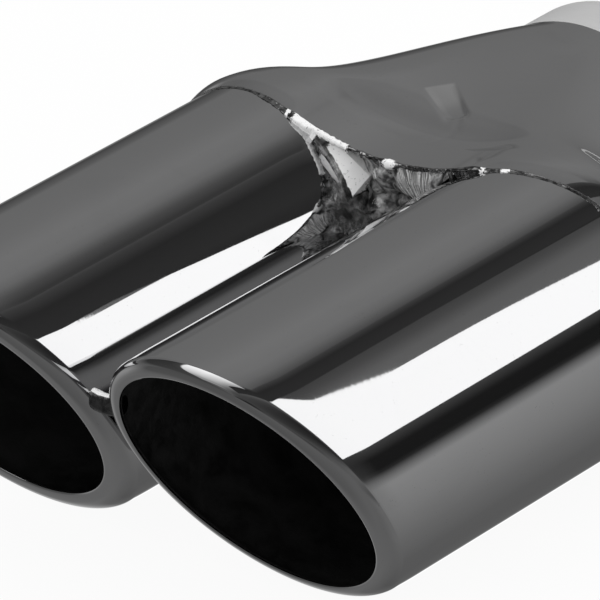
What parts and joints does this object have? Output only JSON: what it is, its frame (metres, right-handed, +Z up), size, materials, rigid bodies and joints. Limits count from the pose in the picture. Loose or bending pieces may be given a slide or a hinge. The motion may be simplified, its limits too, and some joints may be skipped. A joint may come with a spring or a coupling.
{
  "type": "twin exhaust tip",
  "caption": "Twin-outlet exhaust tip: slash-cut round tubes with turned-in lips, welded into a pressed two-half shell that narrows to a round inlet collar.",
  "frame": {"origin": "centre of the inlet collar's open end, on the collar's axis", "axes": "+Y out of the inlet towards the pipe that enters it, the mouths look towards -Y, +X from the left outlet tube to the right one, +Z up"},
  "size_m": [0.157, 0.2203, 0.0792],
  "materials": {
    "polished_tube": "mirror-polished stainless steel",
    "polished_shell": "polished stainless steel sheet",
    "ground_weld": "weld ground flush and polished over",
    "weld_bead": "bright uneven weld, wire-brushed",
    "satin_collar": "satin, unpolished"
  },
  "bodies": {
    "root": {"outlet_tube_left": "polished_tube", "outlet_tube_right": "polished_tube", "upper_shell": "polished_shell", "lower_shell": "polished_shell", "side_weld_left": "ground_weld", "side_weld_right": "ground_weld", "inlet_collar": "satin_collar", "collar_weld": "ground_weld", "tube_weld_left": "weld_bead", "tube_weld_right": "weld_bead", "crotch_weld_upper": "weld_bead", "crotch_weld_lower": "weld_bead", "tube_tack_weld": "weld_bead"}
  },
  "joints": []
}
